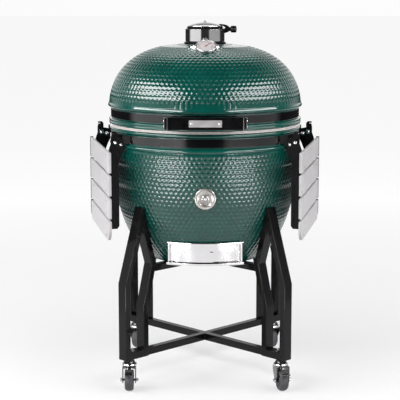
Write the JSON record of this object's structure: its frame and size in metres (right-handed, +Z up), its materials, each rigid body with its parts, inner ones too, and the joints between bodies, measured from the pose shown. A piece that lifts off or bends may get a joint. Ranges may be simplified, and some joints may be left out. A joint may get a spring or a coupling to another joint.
{
  "type": "kamado ceramic grill",
  "caption": "Egg-shaped dimpled ceramic charcoal grill with a hinged lid, top vent, ash door and folding slatted side shelves, on a black steel stand with swivel casters.",
  "frame": {"origin": "on the floor, under the middle of the grill", "axes": "+Z up, -Y towards the front with the handle and ash door, +X to the right seen from the front"},
  "size_m": [0.8434, 0.796, 1.247],
  "materials": {
    "green_glaze": "glossy dimpled glaze",
    "band_black": "satin black powder coat",
    "bracket_black": "satin black powder coat",
    "stand_frame": "gloss black powder coat",
    "handle_black": "satin black",
    "polished_steel": "polished stainless steel",
    "grid_steel": "satin stainless steel",
    "spring_steel": "zinc plated spring steel",
    "name_plate": "plain brushed plate, left blank",
    "cast_iron": "seasoned",
    "fire_clay": "unglazed refractory",
    "felt_seal": "pressed felt",
    "slat_grey": "satin light grey plank",
    "dial_white": "printed enamel",
    "dial_red": "red enamel",
    "caster_metal": "black powder coat",
    "wheel_tread": "dark grey tread"
  },
  "bodies": {
    "stand": {"lower_cross_brace": "stand_frame", "upper_cross_brace": "stand_frame", "base_shell": "green_glaze", "firebox": "fire_clay", "fire_ring": "fire_clay", "charcoal_grate": "cast_iron", "cooking_grid": "grid_steel", "base_gasket": "felt_seal", "base_band": "band_black", "draft_frame": "polished_steel", "lid_hinge_base": "band_black", "lid_hinge_spring_left": "spring_steel", "lid_hinge_spring_right": "spring_steel", "leg_front_left": "stand_frame", "leg_front_right": "stand_frame", "leg_rear_right": "stand_frame", "leg_rear_left": "stand_frame", "shelf_bracket_left_front": "bracket_black", "shelf_bracket_left_rear": "bracket_black", "shelf_bracket_right_front": "bracket_black", "shelf_bracket_right_rear": "bracket_black"},
    "lid": {"lid_shell": "green_glaze", "lid_gasket": "felt_seal", "lid_band": "band_black", "lid_hinge_upper": "band_black", "handle_bar": "handle_black", "handle_bracket_left": "polished_steel", "handle_bracket_right": "polished_steel", "handle_plate": "name_plate", "vent_base": "polished_steel", "thermometer_case": "polished_steel", "thermometer_dial": "dial_white"},
    "vent_cap": {"vent_cap": "polished_steel"},
    "thermometer_needle": {"thermometer_needle": "dial_red"},
    "draft_door": {"draft_door": "polished_steel"},
    "ash_screen": {"ash_screen": "polished_steel"},
    "port_plug": {"port_plug": "polished_steel"},
    "shelf_left": {"shelf_arm_left_front": "bracket_black", "shelf_arm_left_rear": "bracket_black", "shelf_slat_left_1": "slat_grey", "shelf_slat_left_2": "slat_grey", "shelf_slat_left_3": "slat_grey", "shelf_slat_left_4": "slat_grey"},
    "shelf_right": {"shelf_arm_right_front": "bracket_black", "shelf_arm_right_rear": "bracket_black", "shelf_slat_right_1": "slat_grey", "shelf_slat_right_2": "slat_grey", "shelf_slat_right_3": "slat_grey", "shelf_slat_right_4": "slat_grey"},
    "caster_front_left": {"caster_fork_front_left": "caster_metal"},
    "wheel_front_left": {"caster_wheel_front_left": "wheel_tread"},
    "brake_front_left": {"caster_brake_front_left": "caster_metal"},
    "caster_front_right": {"caster_fork_front_right": "caster_metal"},
    "wheel_front_right": {"caster_wheel_front_right": "wheel_tread"},
    "brake_front_right": {"caster_brake_front_right": "caster_metal"},
    "caster_rear_right": {"caster_fork_rear_right": "caster_metal"},
    "wheel_rear_right": {"caster_wheel_rear_right": "wheel_tread"},
    "caster_rear_left": {"caster_fork_rear_left": "caster_metal"},
    "wheel_rear_left": {"caster_wheel_rear_left": "wheel_tread"}
  },
  "joints": [
    {"name": "lid_hinge", "type": "hinge", "parent": "stand", "child": "lid", "pos_m": [0, 0.384, 0.893], "axis": [-1, 0, 0], "range_deg": [0, 70]},
    {"name": "vent_cap_tilt", "type": "hinge", "parent": "lid", "child": "vent_cap", "pos_m": [0.08, 0, 1.217], "axis": [0, 1, 0], "range_deg": [0, 60]},
    {"name": "thermometer_turn", "type": "hinge", "parent": "lid", "child": "thermometer_needle", "pos_m": [0.003, -0.1747, 1.16768], "axis": [0, -0.5, 0.866], "range_deg": [-90, 150]},
    {"name": "draft_door_slide", "type": "hinge", "parent": "stand", "child": "draft_door", "pos_m": [0, 0, 0.473], "axis": [0, 0, 1], "range_deg": [-5, 18]},
    {"name": "ash_screen_slide", "type": "hinge", "parent": "stand", "child": "ash_screen", "pos_m": [0, 0, 0.473], "axis": [0, 0, 1], "range_deg": [-2, 24]},
    {"name": "port_plug_pull", "type": "slide", "parent": "stand", "child": "port_plug", "axis": [0, -1, 0], "range_m": [0, 0.03]},
    {"name": "shelf_right_fold", "type": "hinge", "parent": "stand", "child": "shelf_right", "pos_m": [0.306, -0.2, 0.845], "axis": [-0.2021, -0.9794, 0], "range_deg": [0, 90]},
    {"name": "shelf_left_fold", "type": "hinge", "parent": "stand", "child": "shelf_left", "pos_m": [-0.306, -0.2, 0.845], "axis": [-0.2021, 0.9794, 0], "range_deg": [0, 90]},
    {"name": "swivel_front_left", "type": "hinge", "parent": "stand", "child": "caster_front_left", "pos_m": [-0.2588, -0.2588, 0.095], "axis": [0, 0, 1], "continuous": true},
    {"name": "spin_front_left", "type": "hinge", "parent": "caster_front_left", "child": "wheel_front_left", "pos_m": [-0.2588, -0.2748, 0.038], "axis": [1, 0, 0], "continuous": true},
    {"name": "brake_front_left", "type": "hinge", "parent": "caster_front_left", "child": "brake_front_left", "pos_m": [-0.2588, -0.2871, 0.082], "axis": [1, 0, 0], "range_deg": [0, 8]},
    {"name": "swivel_front_right", "type": "hinge", "parent": "stand", "child": "caster_front_right", "pos_m": [0.2588, -0.2588, 0.095], "axis": [0, 0, 1], "continuous": true},
    {"name": "spin_front_right", "type": "hinge", "parent": "caster_front_right", "child": "wheel_front_right", "pos_m": [0.26267, -0.27433, 0.038], "axis": [0.9703, 0.2419, 0], "continuous": true},
    {"name": "brake_front_right", "type": "hinge", "parent": "caster_front_right", "child": "brake_front_right", "pos_m": [0.26565, -0.28626, 0.082], "axis": [0.9703, 0.2419, 0], "range_deg": [0, 8]},
    {"name": "swivel_rear_right", "type": "hinge", "parent": "stand", "child": "caster_rear_right", "pos_m": [0.2588, 0.2588, 0.095], "axis": [0, 0, 1], "continuous": true},
    {"name": "spin_rear_right", "type": "hinge", "parent": "caster_rear_right", "child": "wheel_rear_right", "pos_m": [0.2508, 0.27266, 0.038], "axis": [-0.866, -0.5, 0], "continuous": true},
    {"name": "swivel_rear_left", "type": "hinge", "parent": "stand", "child": "caster_rear_left", "pos_m": [-0.2588, 0.2588, 0.095], "axis": [0, 0, 1], "continuous": true},
    {"name": "spin_rear_left", "type": "hinge", "parent": "caster_rear_left", "child": "wheel_rear_left", "pos_m": [-0.25333, 0.27384, 0.038], "axis": [-0.9397, 0.342, 0], "continuous": true}
  ]
}
